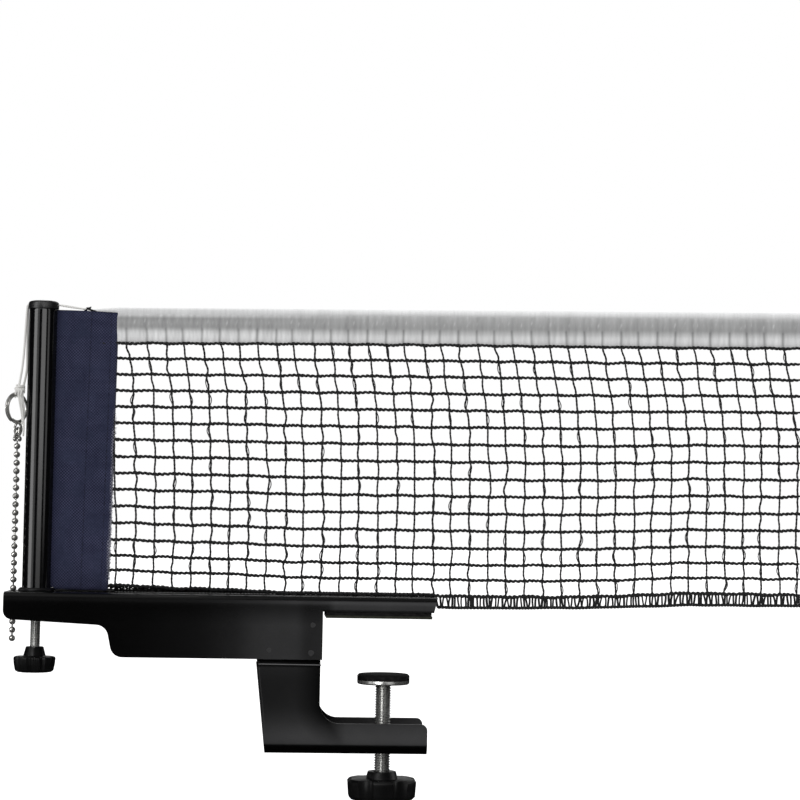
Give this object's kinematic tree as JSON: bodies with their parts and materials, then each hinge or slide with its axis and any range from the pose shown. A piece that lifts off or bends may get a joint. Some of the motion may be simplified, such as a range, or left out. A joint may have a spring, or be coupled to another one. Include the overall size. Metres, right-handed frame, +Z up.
{
  "type": "table tennis net clamp",
  "caption": "Screw clamp and post that hold one end of a table tennis net, with height screw, bead-chain tensioner and the end of the net.",
  "frame": {"origin": "in the throat of the clamp: side edge of the table (X = 0), playing surface (Z = 0), plane of the net (Y = 0)", "axes": "+X from the table's side edge towards its centre, +Y along the table away from the viewer, +Z up"},
  "size_m": [0.3998, 0.036, 0.2459],
  "materials": {
    "bracket_steel": "black powder coat, satin",
    "jaw_steel": "black powder coat, satin",
    "post_enamel": "black enamel, glossy",
    "bright_steel": "zinc plated",
    "chain_nickel": "nickel plated",
    "black_plastic": "moulded, fine grain",
    "pad_rubber": "matte",
    "grip_rubber": "grey-green, matte",
    "sleeve_fabric": "navy woven",
    "tape_fabric": "white woven tape",
    "net_cord_black": "knotless knitted cord",
    "cord_white": "braided cord"
  },
  "bodies": {
    "bracket": {"upper_bracket": "bracket_steel", "lower_jaw_frame": "jaw_steel", "tongue_pad_block": "pad_rubber", "tongue_grip_strip": "grip_rubber", "clamp_weld_nut": "bright_steel", "height_screw_strap": "jaw_steel", "post_bush": "black_plastic", "split_ring": "chain_nickel", "cord_knot": "cord_white", "tension_cord": "cord_white"},
    "post": {"post_tube": "post_enamel", "post_foot_plug": "black_plastic", "post_cap": "black_plastic", "net_hem_rod": "bright_steel", "net_sleeve": "sleeve_fabric", "net_tape": "tape_fabric", "net_mesh": "net_cord_black", "net_selvage": "net_cord_black", "net_cord": "cord_white"},
    "height_screw": {"height_screw": "bright_steel", "height_knob": "black_plastic"},
    "clamp_carriage": {"pressure_plate": "bright_steel", "pressure_pad": "pad_rubber"},
    "clamp_screw": {"clamp_spindle": "bright_steel", "spindle_clip": "bright_steel", "clamp_knob": "black_plastic"},
    "chain": {"chain_clasp": "chain_nickel", "bead_chain": "chain_nickel"},
    "chain_end": {"chain_tail": "chain_nickel"}
  },
  "joints": [
    {"name": "post_lift", "type": "slide", "parent": "bracket", "child": "post", "axis": [0, 0, 1], "range_m": [0, 0.007], "deforming": ["tension_cord"]},
    {"name": "height_screw_turn", "type": "hinge", "parent": "post", "child": "height_screw", "pos_m": [-0.1411, 0, -0.02], "axis": [0, 0, 1], "range_deg": [0, 3150]},
    {"name": "clamp_travel", "type": "slide", "parent": "bracket", "child": "clamp_carriage", "axis": [0, 0, 1], "range_m": [-0.018, 0.009]},
    {"name": "clamp_screw_turn", "type": "hinge", "parent": "clamp_carriage", "child": "clamp_screw", "pos_m": [0.031, 0, -0.06], "axis": [0, 0, 1], "range_deg": [-5184, 2592]},
    {"name": "chain_unhook", "type": "hinge", "parent": "bracket", "child": "chain", "pos_m": [-0.1524, 0, 0.0938], "axis": [0, 1, 0], "range_deg": [0, 12]},
    {"name": "chain_end_swing", "type": "hinge", "parent": "chain", "child": "chain_end", "pos_m": [-0.1524, 0, 0.0093], "axis": [0, 1, 0], "range_deg": [-5, 32]}
  ],
  "couplings": [
    {"joint": "height_screw_turn", "follows": "post_lift", "rad_per_m": 7854},
    {"joint": "clamp_screw_turn", "follows": "clamp_travel", "rad_per_m": 5026.5}
  ]
}
